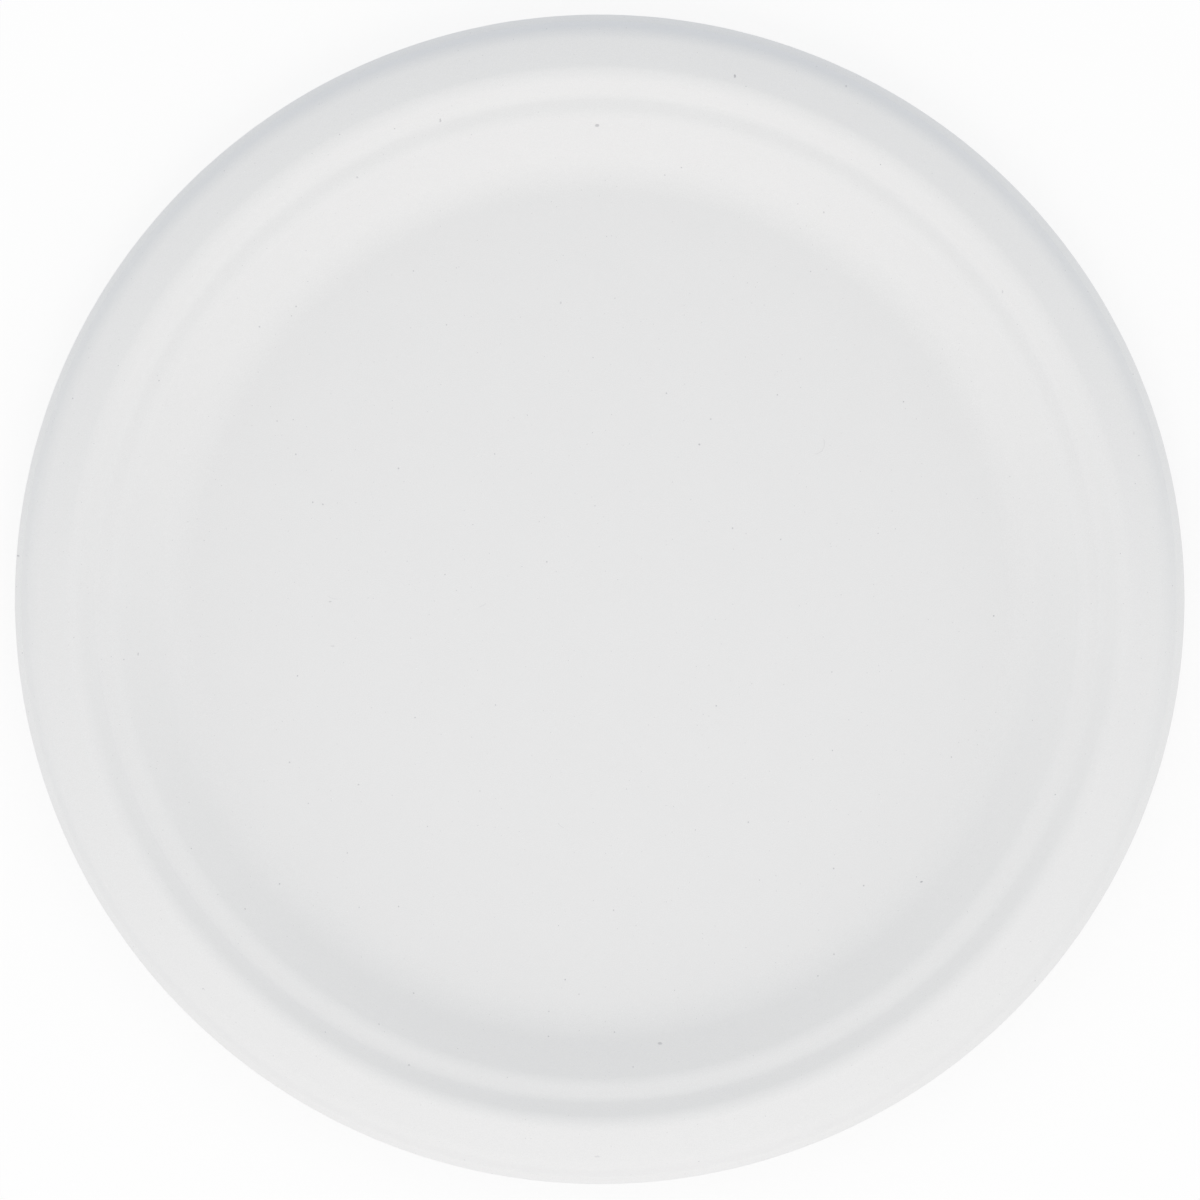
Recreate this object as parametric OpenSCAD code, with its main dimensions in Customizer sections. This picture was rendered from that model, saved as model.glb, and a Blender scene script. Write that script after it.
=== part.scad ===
// Round plate of moulded fibre: a flat well, a sloping wall with a ledge in it, and a rim
// that falls away from its crest to a turned-down lip.
// The plate is one sheet of even thickness, so its section is drawn as a bent strip
// about a middle line, and turned about Z. Sizes are in millimetres and degrees.
// Each bend's radius is the one on its inner side, as on a forming tool.

/* [Plate] */
// Overall diameter
plate_d = 229; // [180:1:300]
// Overall height, from the underside of the well to the top of the crest
plate_h = 18; // [15:0.5:24]
// Thickness of the fibre
fibre_t = 0.8; // [0.5:0.1:1.4]

/* [Well and wall] */
// Slope of the wall, from level
wall_slope = 50.5; // [42:0.5:60]
// Radius of the bend between the flat well and the wall
well_bend_r = 9.7; // [4:0.1:14]

/* [Ledge] */
// Height of the wall between the ledge and the crest, crease to crease
step_h = 4.6; // [3.8:0.1:6.4]
// Width of the ledge, crease to crease
ledge_w = 3.7; // [3.3:0.1:6.5]
// Slope of the ledge, falling towards the well
ledge_slope = 10; // [0:1:20]
// Radius of the bend at the ledge's inner edge
ledge_in_bend_r = 3.25; // [1:0.25:4]
// Radius of the bend at the ledge's outer edge
ledge_out_bend_r = 2.5; // [1:0.25:3.25]

/* [Rim] */
// Width of the rim, from the crease of the crest out to the edge
rim_w = 12.4; // [9:0.1:18]
// Slope of the rim, falling towards the edge
rim_slope = 17; // [8:1:28]
// Radius of the bend at the crest
crest_bend_r = 2.5; // [1:0.1:3.5]

/* [Lip] */
// Width of the turned-down lip, from its crease out to the edge
lip_w = 3.7; // [3.2:0.1:4.4]
// Slope of the lip, falling towards the edge
lip_slope = 66; // [50:1:72]
// Radius of the bend between the rim and the lip
lip_bend_r = 4; // [1:0.25:4.5]
// Width of the flared foot of the lip, from its crease out to the edge
flare_w = 1.8; // [1.5:0.1:2]
// Slope of the flared foot
flare_slope = 40; // [25:1:48]
// Radius of the bend between the lip and its flared foot
flare_bend_r = 0.8; // [0.3:0.1:1.2]

/* [Hidden] */

plate_r = plate_d / 2;
half_t = fibre_t / 2;
// How far a chord of a bend may lie inside its arc
chord_sag = 0.005;
// Sides of the turned plate, and turn of each chord of its rounded edge
turned_sides = 240;
edge_chord_turn = 15;

// Height of the crest's crease, which puts the top of its bend at the plate's height
crest_mid_r = crest_bend_r + half_t;
crest_z = plate_h - half_t - crest_mid_r
    * (1 - cos((wall_slope - rim_slope) / 2) / cos((wall_slope + rim_slope) / 2));

// Creases of the middle line, as [radius, height], from the crest outwards
crest = [plate_r - rim_w, crest_z];
lip = [plate_r - lip_w, crest.y - (rim_w - lip_w) * tan(rim_slope)];
flare = [plate_r - flare_w, lip.y - (lip_w - flare_w) * tan(lip_slope)];
edge = [plate_r - half_t, flare.y - (flare_w - half_t) * tan(flare_slope)];

// The same from the crest inwards
ledge_out = crest - [step_h / tan(wall_slope), step_h];
ledge_in = ledge_out - [ledge_w, ledge_w * tan(ledge_slope)];
well = [ledge_in.x - (ledge_in.y - half_t) / tan(wall_slope), half_t];
centre = [0, half_t];

creases = [centre, well, ledge_in, ledge_out, crest, lip, flare, edge];
bend_radii = [0, well_bend_r, ledge_in_bend_r, ledge_out_bend_r, crest_bend_r,
    lip_bend_r, flare_bend_r, 0];
last = len(creases) - 1;

// Heading of the middle line from one crease to the next
function heading(i) = atan2(creases[i + 1].y - creases[i].y, creases[i + 1].x - creases[i].x);

// Unit vector square to a heading, on the upper side of the sheet
function up_from(angle) = [-sin(angle), cos(angle)];

// One face of the sheet round a bend: side is 1 on the upper face and -1 on the underside
function bend(i, side) =
    let (
        from = heading(i - 1),
        turn = heading(i) - from,
        mid_r = bend_radii[i] + half_t,
        arm = sign(turn) * mid_r,
        pivot = creases[i] + arm / cos(turn / 2) * up_from(from + turn / 2),
        chords = ceil(abs(turn) / (2 * acos(1 - chord_sag / mid_r)))
    )
    [for (k = [0 : chords]) pivot - (arm - side * half_t) * up_from(from + turn * k / chords)];

// One whole face of the sheet, from the centre to the last bend
function face(side) = [
    centre + side * half_t * up_from(0),
    for (i = [1 : last - 1]) each bend(i, side)
];

// Rounded edge, from the upper face to the underside
function rounded_edge() =
    [for (turn = [0 : edge_chord_turn : 180]) edge + half_t * up_from(heading(last - 1) - turn)];

function reversed(points) = [for (i = [len(points) - 1 : -1 : 0]) points[i]];

module plate() {
    color("whitesmoke")
        rotate_extrude($fn = turned_sides)
            polygon(concat(face(1), rounded_edge(), reversed(face(-1))));
}

plate();
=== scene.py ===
import math

import bmesh
import bpy
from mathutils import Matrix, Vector, noise


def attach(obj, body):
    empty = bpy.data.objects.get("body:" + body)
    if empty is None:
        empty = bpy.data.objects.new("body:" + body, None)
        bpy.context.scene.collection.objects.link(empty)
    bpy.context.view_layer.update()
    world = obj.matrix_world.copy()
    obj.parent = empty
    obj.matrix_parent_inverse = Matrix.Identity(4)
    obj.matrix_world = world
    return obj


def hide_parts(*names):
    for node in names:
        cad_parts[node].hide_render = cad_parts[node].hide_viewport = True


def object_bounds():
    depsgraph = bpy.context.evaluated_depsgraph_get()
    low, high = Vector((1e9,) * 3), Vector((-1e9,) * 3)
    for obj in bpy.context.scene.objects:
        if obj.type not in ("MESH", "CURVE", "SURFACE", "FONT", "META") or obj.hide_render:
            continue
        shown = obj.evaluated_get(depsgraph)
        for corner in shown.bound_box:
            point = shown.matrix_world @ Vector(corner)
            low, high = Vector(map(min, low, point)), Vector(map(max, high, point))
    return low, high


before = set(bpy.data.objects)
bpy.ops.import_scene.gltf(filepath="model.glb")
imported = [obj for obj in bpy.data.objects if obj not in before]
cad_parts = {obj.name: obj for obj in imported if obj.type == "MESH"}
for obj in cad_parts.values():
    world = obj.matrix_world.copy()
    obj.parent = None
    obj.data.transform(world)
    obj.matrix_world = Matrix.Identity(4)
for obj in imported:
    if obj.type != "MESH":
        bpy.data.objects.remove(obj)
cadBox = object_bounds()
mm = 0.001
plateRadius = cadBox[1].x
plateHeight = cadBox[1].z
plainWhite = (1, 1, 1, 1)
print(f"Frame loaded: a plate {2 * plateRadius / mm:.0f} mm across and {plateHeight / mm:.0f} mm high")

# The camera looks straight down, and the plate fills most of the frame
shot = {
    "height": 1500 * mm,
    "edgeLevel": 10 * mm,  # the height at which the plate's outline is seen
    "imagePixels": 1200,
    "platePixels": 1170,  # the outline's diameter in the image
    "aside": 0.06 * mm,  # the camera stands this far off the plate's axis, along X and Y
    "below": 0.14 * mm,
    "sensor": 36,
}


def makeCamera():
    data = bpy.data.cameras.new("camera")
    frameWidth = 2 * plateRadius * shot["imagePixels"] / shot["platePixels"]
    data.sensor_width = shot["sensor"]
    data.lens = shot["sensor"] * (shot["height"] - shot["edgeLevel"]) / frameWidth
    camera = bpy.data.objects.new("camera", data)
    camera.location = (shot["aside"], -shot["below"], shot["height"])
    bpy.context.scene.collection.objects.link(camera)
    bpy.context.scene.camera = camera


makeCamera()
print("Camera placed")


# Wraps a socket, so that shader maths can be written as sums and products
class Wire:
    def __init__(self, tree, socket=None):
        self.tree = tree
        self.socket = socket

    # Adds a node: first its settings, then the values or wires of its inputs
    def node(self, kind, settings={}, inputs={}, output=0):
        made = self.tree.nodes.new(kind)
        for name, setting in settings.items():
            setattr(made, name, setting)
        for name, value in inputs.items():
            if isinstance(value, Wire):
                self.tree.links.new(value.socket, made.inputs[name])
            else:
                made.inputs[name].default_value = value
        return Wire(self.tree, made.outputs[output] if made.outputs else None)

    # Another output of the node that this one comes from
    def beside(self, output):
        return Wire(self.tree, self.socket.node.outputs[output])

    def maths(self, operation, first, second=0.0):
        return self.node("ShaderNodeMath", {"operation": operation}, {0: first, 1: second})

    def __add__(self, other):
        return self.maths("ADD", self, other)

    def __sub__(self, other):
        return self.maths("SUBTRACT", self, other)

    def __rsub__(self, other):
        return self.maths("SUBTRACT", other, self)

    def __mul__(self, other):
        return self.maths("MULTIPLY", self, other)

    def __truediv__(self, other):
        return self.maths("DIVIDE", self, other)

    def __pow__(self, other):
        return self.maths("POWER", self, other)

    def __neg__(self):
        return self * -1

    def __abs__(self):
        return self.maths("ABSOLUTE", self)

    # 1 where this is the larger, and 0 elsewhere
    def __gt__(self, other):
        return self.maths("GREATER_THAN", self, other)

    __radd__ = __add__
    __rmul__ = __mul__

    # The larger of this and another
    def most(self, other):
        return self.maths("MAXIMUM", self, other)

    # 0 at low, 1 at high and smooth between them; low may be the larger
    def ramp(self, low, high):
        settings = {"interpolation_type": "SMOOTHSTEP"}
        return self.node("ShaderNodeMapRange", settings, {"Value": self, "From Min": low, "From Max": high})

    # X, Y or Z of this place, as part 0, 1 or 2
    def part(self, index):
        return self.node("ShaderNodeSeparateXYZ", {}, {"Vector": self}, index)

    def vectors(self, operation, second, third=(0, 0, 0), output=0):
        inputs = {0: self, 1: second, 2: third}
        return self.node("ShaderNodeVectorMath", {"operation": operation}, inputs, output)

    # This place with its height taken out
    def flattened(self):
        return self.vectors("MULTIPLY", (1, 1, 0))

    def distanceTo(self, point):
        return self.vectors("DISTANCE", point, output="Value")

    # A colour made stronger or weaker by this number
    def times(self, colour):
        return self.node("ShaderNodeVectorMath", {"operation": "SCALE"}, {0: colour, "Scale": self})

    # Noise from 0 to 1 whose features are about size across
    def noise(self, size, detail=2, output=0):
        inputs = {"Vector": self, "Scale": 1 / size, "Detail": detail}
        return self.node("ShaderNodeTexNoise", {}, inputs, output)

    # From one colour to another as this goes from 0 to 1; a Mix node's colours are its inputs 6 and 7
    def shade(self, first, second):
        return self.node("ShaderNodeMix", {"data_type": "RGBA"}, {0: self, 6: first, 7: second}, 2)


# The wire that the nodes of a new material or world start from
def emptyTree(owner):
    owner.use_nodes = True
    owner.node_tree.nodes.clear()
    return Wire(owner.node_tree)


def makeOutput(shader):
    shader.node("ShaderNodeOutputMaterial", {}, {"Surface": shader})


pulp = {
    "colour": (0.87, 0.87, 0.87),
    "dirtColour": (0.36, 0.35, 0.38, 1),
    "roughness": 0.9,
    "gloss": 0.25,
    "cloudSize": 12 * mm,  # soft patches where the pulp settled thicker
    "cloudDepth": 0.0065,
    "mottleSize": 1.4 * mm,
    "mottleDepth": 0.005,
    "grainSize": 0.5 * mm,
    "grainDepth": 0.010,
    "grainHeight": 0.008 * mm,
    "fineSize": 0.2 * mm,  # single fibres
    "fineDepth": 0.054,
    "pillowSize": 2.5 * mm,  # faint unevenness of the pressed face
    "pillowHeight": 0.012 * mm,
    "undersideRelief": 2,  # the underside's unevenness, as a multiple of the upper face's
    "raggedSize": 0.6 * mm,  # the outlines of the large specks and hairs wander
    "raggedShift": 0.15 * mm,
}

# Specks of bark and ink in the pulp, in layers from few and large to many and small
speckLayers = [
    {"spacing": 3.3 * mm, "smallest": 0.10 * mm, "largest": 0.23 * mm, "share": 0.8, "strength": 0.45},
    {"spacing": 1.2 * mm, "smallest": 0.05 * mm, "largest": 0.13 * mm, "share": 0.9, "strength": 0.33},
]

# Ends of fibre that catch the light
paleSpecks = {
    "spacing": 1.5 * mm, "smallest": 0.08 * mm, "largest": 0.16 * mm, "share": 0.6, "strength": 0.06,
}

# A speck's soft rim, from clear pulp to its full strength, in shares of its radius
softRim = {"scattered": (1, 0.5), "placed": (1.1, 0.5)}

# The largest specks: across, up, width and height in mm, and strength
largeSpecks = [
    (-0.5, 92.7, 1.0, 0.7, 0.50),
    (26.3, 101.9, 0.6, 0.8, 0.62),
    (-31.1, 93.5, 0.45, 0.8, 0.47),
    (11.8, -87.2, 1.1, 0.5, 0.45),
    (63.3, -55.6, 0.6, 0.4, 0.65),
    (19.6, 30.5, 0.5, 0.45, 0.50),
    (59.8, 38.9, 0.4, 0.4, 0.55),
    (35.0, 40.3, 0.4, 0.4, 0.40),
    (21.9, 35.5, 0.35, 0.45, 0.32),
    (-7.7, 58.4, 0.45, 0.6, 0.28),
    (-66.9, 53.6, 0.5, 0.4, 0.38),
    (-63.0, -56.0, 0.35, 0.4, 0.50),
    (-90.4, -10.7, 0.4, 0.8, 0.32),
    (-61.1, -32.1, 0.4, 0.45, 0.38),
    (-47.5, -36.5, 0.5, 0.35, 0.35),
    (-54.5, 18.7, 0.4, 0.4, 0.40),
    (-53.1, -0.5, 0.7, 0.3, 0.33),
    (77.6, -3.3, 0.35, 0.4, 0.62),
    (78.6, 60.0, 0.35, 0.7, 0.27),
    (104.1, 32.4, 0.35, 0.8, 0.16),
    (-113.8, 8.5, 0.7, 0.45, 0.45),
    (48.1, 100.1, 0.5, 0.5, 0.33),
    (-0.5, -108.6, 1.2, 0.4, 0.20),
    (-47.4, 82.4, 0.4, 0.5, 0.33),
    (44.0, 76.0, 0.45, 0.5, 0.33),
    (-6.8, -74.9, 0.35, 0.35, 0.58),
    (52.0, -56.4, 0.4, 0.4, 0.46),
    (-37.2, -90.9, 0.4, 0.4, 0.40),
    (-52.6, -9.2, 0.9, 0.25, 0.26),
    (-77.3, -75.9, 0.45, 0.35, 0.36),
    (54.7, 84.7, 0.35, 0.35, 0.50),
]

# Hairs of fibre, each an arc: across, up, radius of the arc, heading of its centre, length and strength
hairs = [
    (44.0, 29.6, 2.0, 150, 4.2, 0.14),
    (-7.7, -44.6, 3.0, 50, 1.6, 0.12),
    (-52.6, 0.2, 4.0, 70, 2.2, 0.10),
    (-23.0, -1.2, 3.0, 120, 1.6, 0.12),
]

# Half the width of a hair at its soft rim and at its dark core, and how much its ends taper
hairShape = {"rim": 0.12 * mm, "core": 0.04 * mm, "taper": 1.2}


# Round specks scattered through the pulp, one to a cell, each as large as its own random number makes it
def scatteredSpecks(place, layer):
    away = place.node("ShaderNodeTexVoronoi", {}, {"Vector": place, "Scale": 1 / layer["spacing"]})
    chance = away.beside("Color")
    radius = layer["smallest"] + (layer["largest"] - layer["smallest"]) * chance.part(0) ** 2
    kept = chance.part(1) > 1 - layer["share"]
    return (away * layer["spacing"] / radius).ramp(*softRim["scattered"]) * kept * layer["strength"]


def placedSpeck(flat, across, up, width, height, strength):
    stretch = {"vector_type": "POINT"}
    inputs = {"Vector": flat, "Location": (-2 * across / width, -2 * up / height, 0)}
    inputs["Scale"] = (2 / (width * mm), 2 / (height * mm), 1)
    inside = flat.node("ShaderNodeMapping", stretch, inputs)
    return inside.distanceTo((0, 0, 0)).ramp(*softRim["placed"]) * strength


def placedHair(flat, across, up, radius, heading, length, strength):
    turn = math.radians(heading)
    middle = Vector((across, up, 0)) * mm
    centre = middle + Vector((math.cos(turn), math.sin(turn), 0)) * radius * mm
    line = abs(flat.distanceTo(centre) - radius * mm).ramp(hairShape["rim"], hairShape["core"])
    end = length / 2 * mm
    return line * flat.distanceTo(middle).ramp(end, end / hairShape["taper"]) * strength


def pulpTone(place, grain):
    tone = 1 + 2 * pulp["cloudDepth"] * (place.noise(pulp["cloudSize"]) - 0.5)
    tone += 2 * pulp["mottleDepth"] * (place.noise(pulp["mottleSize"]) - 0.5)
    tone += 2 * pulp["grainDepth"] * (grain - 0.5)
    tone += 2 * pulp["fineDepth"] * (place.noise(pulp["fineSize"], 1) - 0.5)
    return tone + scatteredSpecks(place, paleSpecks)


def pulpDirt(place, placed):
    dirt = scatteredSpecks(place, speckLayers[0])
    for layer in speckLayers[1:]:
        dirt = dirt.most(scatteredSpecks(place, layer))
    if placed:
        flat = place.flattened()
        shift = pulp["raggedShift"]
        ragged = flat.noise(pulp["raggedSize"], output="Color")
        ragged = ragged.vectors("MULTIPLY_ADD", (2 * shift,) * 3, (-shift,) * 3)
        flat = flat.vectors("ADD", ragged).flattened()
        for speck in largeSpecks:
            dirt = dirt.most(placedSpeck(flat, *speck))
        for hair in hairs:
            dirt = dirt.most(placedHair(flat, *hair))
    return dirt


# Pulp with the given relief; placed adds the largest specks and the hairs
def makePulp(name, relief, placed):
    material = bpy.data.materials.new(name)
    place = emptyTree(material).node("ShaderNodeTexCoord", output="Object")
    grain = place.noise(pulp["grainSize"])
    height = grain * pulp["grainHeight"] + place.noise(pulp["pillowSize"]) * pulp["pillowHeight"]
    bump = height.node("ShaderNodeBump", {}, {"Height": height * relief, "Distance": 1.0})
    clean = pulpTone(place, grain).times(pulp["colour"])
    makeOutput(bump.node("ShaderNodeBsdfPrincipled", {}, {
        "Base Color": pulpDirt(place, placed).shade(clean, pulp["dirtColour"]),
        "Normal": bump,
        "Roughness": pulp["roughness"],
        "Specular IOR Level": pulp["gloss"],
    }))
    return material


# Puts what was drawn into the scene, in its materials
def makePiece(name, bm, materials):
    mesh = bpy.data.meshes.new(name)
    bm.to_mesh(mesh)
    bm.free()
    for material in materials:
        mesh.materials.append(material)
    piece = bpy.data.objects.new(name, mesh)
    bpy.context.scene.collection.objects.link(piece)
    return piece


# The section of the sheet: slopes in degrees, and each bend's radius on its inner side
plate = {
    "thickness": 0.8 * mm,
    "wallSlope": 50.5,
    "wellBend": 9.7 * mm,
    "stepHeight": 4.6 * mm,
    "ledgeWidth": 3.7 * mm,
    "ledgeSlope": 10,
    "ledgeInBend": 3.25 * mm,
    "ledgeOutBend": 2.5 * mm,
    "rimWidth": 12.4 * mm,
    "rimSlope": 17,
    "crestBend": 2.5 * mm,
    "lipWidth": 3.7 * mm,
    "lipSlope": 66,
    "lipBend": 4 * mm,
    "flareWidth": 1.8 * mm,
    "flareSlope": 40,
    "flareBend": 0.8 * mm,
    "around": 320,  # facets round the plate
    "ringSpacing": 2.6 * mm,
    "bendStep": 4.5,  # degrees of bend to a facet
    "mergeReach": 0.001 * mm,
    "flatRadius": 79 * mm,  # what follows starts here and grows outwards, the faster the lower its power
    "warp": 0.3 * mm,  # how far the rim dips where the sheet dried out of true
    "warpSize": 80 * mm,
    "warpPower": 2,
    "frayed": 0.06 * mm,  # unevenness of the trimmed edge
    "frayedSize": 1.5 * mm,
    "frayedPower": 40,
    "offCentre": Vector((-0.25, 0.16, 0)) * mm,  # the moulding's middle, from that of the trimmed edge
    "offCentrePower": 20,
}


def tangent(degrees):
    return math.tan(math.radians(degrees))


def cosine(degrees):
    return math.cos(math.radians(degrees))


# A unit vector in the XZ plane, square to a heading and on the sheet's upper side
def upFrom(heading):
    return Vector((-math.sin(heading), 0, math.cos(heading)))


# Creases of the sheet's middle line in the XZ plane, from the centre outwards
def creasesOf(p):
    half = p["thickness"] / 2
    slopes = p["wallSlope"], p["rimSlope"]
    overshoot = cosine((slopes[0] - slopes[1]) / 2) / cosine((slopes[0] + slopes[1]) / 2) - 1
    crest = Vector((plateRadius - p["rimWidth"], 0, plateHeight - half + (p["crestBend"] + half) * overshoot))
    lip = crest + Vector((1, 0, -tangent(p["rimSlope"]))) * (p["rimWidth"] - p["lipWidth"])
    flare = lip + Vector((1, 0, -tangent(p["lipSlope"]))) * (p["lipWidth"] - p["flareWidth"])
    edge = flare + Vector((1, 0, -tangent(p["flareSlope"]))) * (p["flareWidth"] - half)
    ledgeOut = crest - Vector((1 / tangent(p["wallSlope"]), 0, 1)) * p["stepHeight"]
    ledgeIn = ledgeOut - Vector((1, 0, tangent(p["ledgeSlope"]))) * p["ledgeWidth"]
    well = ledgeIn - Vector((1 / tangent(p["wallSlope"]), 0, 1)) * (ledgeIn.z - half)
    return [Vector((0, 0, half)), well, ledgeIn, ledgeOut, crest, lip, flare, edge]


# Each bend as its pivot, the headings before and after it, and the middle line's radius
def bendsOf(p, creases):
    radii = [p["wellBend"], p["ledgeInBend"], p["ledgeOutBend"], p["crestBend"], p["lipBend"], p["flareBend"]]
    bends = []
    for before, crease, after, inner in zip(creases, creases[1:], creases[2:], radii):
        coming, going = crease - before, after - crease
        start, end = math.atan2(coming.z, coming.x), math.atan2(going.z, going.x)
        radius = math.copysign(inner + p["thickness"] / 2, end - start)
        pivot = crease + upFrom((start + end) / 2) * radius / math.cos((end - start) / 2)
        bends.append((pivot, start, end, radius))
    return bends


# Draws a straight stretch from the vertex tip to a point, in steps of the ring spacing
def drawStraight(bm, tip, end):
    steps = max(1, round((end - tip.co).length / plate["ringSpacing"]))
    step = (end - tip.co) / steps
    for _ in range(steps):
        tip = bmesh.ops.extrude_vert_indiv(bm, verts=[tip])["verts"][0]
        bmesh.ops.translate(bm, verts=[tip], vec=step)
    return tip


# Draws an arc from the vertex tip, turning it about a pivot
def drawArc(bm, tip, pivot, turn):
    steps = max(2, round(abs(math.degrees(turn)) / plate["bendStep"]))
    drawn = bmesh.ops.spin(bm, geom=[tip], cent=pivot, axis=(0, -1, 0), angle=turn, steps=steps)
    return next(part for part in drawn["geom_last"] if isinstance(part, bmesh.types.BMVert))


# Draws the whole section: the upper face outwards, round the edge and back along the underside
def drawSection(bm):
    creases = creasesOf(plate)
    bends = bendsOf(plate, creases)
    half = plate["thickness"] / 2
    tip = bm.verts.new(creases[0] + upFrom(0) * half)
    for pivot, start, end, radius in bends:
        tip = drawStraight(bm, tip, pivot - upFrom(start) * (radius - half))
        tip = drawArc(bm, tip, pivot, end - start)
    tip = drawStraight(bm, tip, creases[-1] + upFrom(bends[-1][2]) * half)
    tip = drawArc(bm, tip, creases[-1], -math.pi)
    for pivot, start, end, radius in reversed(bends):
        tip = drawStraight(bm, tip, pivot - upFrom(end) * (radius + half))
        tip = drawArc(bm, tip, pivot, start - end)
    drawStraight(bm, tip, creases[0] - upFrom(0) * half)


# Smooth noise from 0 to 1 whose features are about size across
def unevenness(spot, size):
    return 0.5 + 0.5 * noise.noise(spot / size)


# The sheet dries slightly out of true, and its trimmed edge is a little uneven and off centre
def ageShape(bm):
    for vert in bm.verts:
        flat = Vector((vert.co.x, vert.co.y, 0))
        beyond = max(0, flat.length - plate["flatRadius"]) / (plateRadius - plate["flatRadius"])
        dip = plate["warp"] * beyond ** plate["warpPower"] * unevenness(flat, plate["warpSize"])
        trimmed = plate["frayed"] * beyond ** plate["frayedPower"] * unevenness(flat, plate["frayedSize"])
        vert.co -= flat.normalized() * trimmed + Vector((0, 0, dip))
        vert.co += plate["offCentre"] * (1 - beyond ** plate["offCentrePower"])


# Upper face and underside side by side in the bake, each as across, up and radius
bake = {"upper": (0.365, 0.365, 0.36), "under": (0.785, 0.785, 0.21)}


def layOutBake(bm):
    layer = bm.loops.layers.uv.new("OFBake")
    for face in bm.faces:
        across, up, radius = bake["under" if face.material_index else "upper"]
        for loop in face.loops:
            spot = loop.vert.co / plateRadius * radius
            loop[layer].uv = (across + spot.x, up + spot.y)


def makePlate():
    bm = bmesh.new()
    drawSection(bm)
    bmesh.ops.spin(
        bm, geom=bm.verts[:] + bm.edges[:], cent=(0, 0, 0), axis=(0, 0, 1),
        angle=math.tau, steps=plate["around"], use_merge=True,
    )
    bmesh.ops.remove_doubles(bm, verts=bm.verts, dist=plate["mergeReach"])
    bmesh.ops.recalc_face_normals(bm, faces=bm.faces)
    for face in bm.faces:
        face.smooth = True
        face.material_index = int(face.normal.z < 0)
    ageShape(bm)
    layOutBake(bm)
    upper = makePulp("pressed_face", 1, True)
    under = makePulp("underside", pulp["undersideRelief"], False)
    piece = makePiece("fibre_plate", bm, [upper, under])
    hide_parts("plate")
    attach(piece, "root")


makePlate()
print("Plate modelled")

table = {
    "width": 6000 * mm,
    "drop": 0.02 * mm,  # just under the plate, so that the two faces never share a plane
    # Painted light and shade: the table's colour, which only the plate sees, is lighter in the middle and
    # darker at the near and far ends
    "frontPaintedShade": (0.755, 0.768, 0.783, 1),
    "middlePaintedLight": (0.97, 0.97, 0.97, 1),
    "backPaintedShade": (0.51, 0.585, 0.73, 1),  # painted shade: the table's far end is painted darker and cooler, for the cooler, dimmer light there
    "fade": 250 * mm,  # from the middle's painted light to an end's painted shade
    "shadow": 0.12,  # share of the shaded table that the camera sees; the rest is plain white
}


# The table lights the plate from below with colours painted in for the light and shade on it, lighter in the
# middle and darker towards the ends, and the camera sees it white
def makeTableTop():
    material = bpy.data.materials.new("table_top")
    camera = emptyTree(material).node("ShaderNodeLightPath", output="Is Camera Ray")
    away = camera.node("ShaderNodeTexCoord", output="Object").part(1) / table["fade"]
    # Painted shade towards the near and far ends, painted light in the middle
    colour = (-away).shade(table["middlePaintedLight"], table["frontPaintedShade"])
    colour = away.shade(colour, table["backPaintedShade"])
    paintedLightAndShade = camera.node("ShaderNodeBsdfDiffuse", {}, {"Color": colour})
    shaded = camera.node("ShaderNodeBsdfDiffuse", {}, {"Color": plainWhite})
    plain = camera.node("ShaderNodeEmission", {}, {"Color": plainWhite, "Strength": 1.0})
    seen = camera.node("ShaderNodeMixShader", {}, {0: 1 - table["shadow"], 1: shaded, 2: plain})
    makeOutput(camera.node("ShaderNodeMixShader", {}, {0: camera, 1: paintedLightAndShade, 2: seen}))
    return material


def makeTable():
    bm = bmesh.new()
    bmesh.ops.create_grid(bm, x_segments=1, y_segments=1, size=table["width"] / 2)
    bmesh.ops.translate(bm, verts=bm.verts, vec=(0, 0, -table["drop"]))
    makePiece("table_top", bm, [makeTableTop()])


makeTable()
print("Table laid")

# The sky is brightest part of the way up, and dims and cools towards the horizon and the zenith
light = {
    "glow": (0.898, 0.892, 0.903),
    "glowRise": 0.42,  # as the sine of its angle above the horizon
    "dimming": (1.643, 1.515, 1.51),
    "nearGlow": (0.367, 0.332, 0.302),  # more from the near side
    "sideGlow": (0.106, 0.126, 0.114),  # and from the left and right
    "keyColour": (1.0, 0.941, 0.917),
    "keyPower": 1.32,
    "keyAway": 900 * mm,
    "keyRise": 60,
    "keyWidth": 500 * mm,
}


def makeSky():
    world = bpy.data.worlds.new("studio")
    bpy.context.scene.world = world
    start = emptyTree(world)
    way = start.node("ShaderNodeTexCoord", output="Generated")
    rise = way.part(2).most(0)
    near = (-way.part(1)).most(0) * rise
    side = way.part(0) ** 2
    dim = (rise - light["glowRise"]) ** 2
    glow = near.times(light["nearGlow"]).vectors("ADD", side.times(light["sideGlow"]))
    glow = glow.vectors("ADD", light["glow"]).vectors("SUBTRACT", dim.times(light["dimming"]))
    sky = start.node("ShaderNodeBackground", {}, {"Color": glow})
    plain = start.node("ShaderNodeBackground", {}, {"Color": plainWhite})
    camera = start.node("ShaderNodeLightPath", output="Is Camera Ray")
    seen = camera.most(camera.beside("Is Glossy Ray")).most(camera.beside("Is Transmission Ray"))
    both = start.node("ShaderNodeMixShader", {}, {0: seen, 1: sky, 2: plain})
    both.node("ShaderNodeOutputWorld", {}, {"Surface": both})


# A soft lamp on the near side, turned towards the plate
def makeKey():
    data = bpy.data.lights.new("key", "AREA")
    data.shape = "DISK"
    data.size = light["keyWidth"]
    data.color = light["keyColour"]
    data.energy = light["keyPower"]
    key = bpy.data.objects.new("key", data)
    key.visible_camera = False
    rise = math.radians(light["keyRise"])
    key.location = Vector((0, -math.cos(rise), math.sin(rise))) * light["keyAway"]
    key.rotation_euler = (math.pi / 2 - rise, 0, 0)
    bpy.context.scene.collection.objects.link(key)


makeSky()
makeKey()
print("Lights set")

bpy.context.scene.view_settings.view_transform = "Standard"
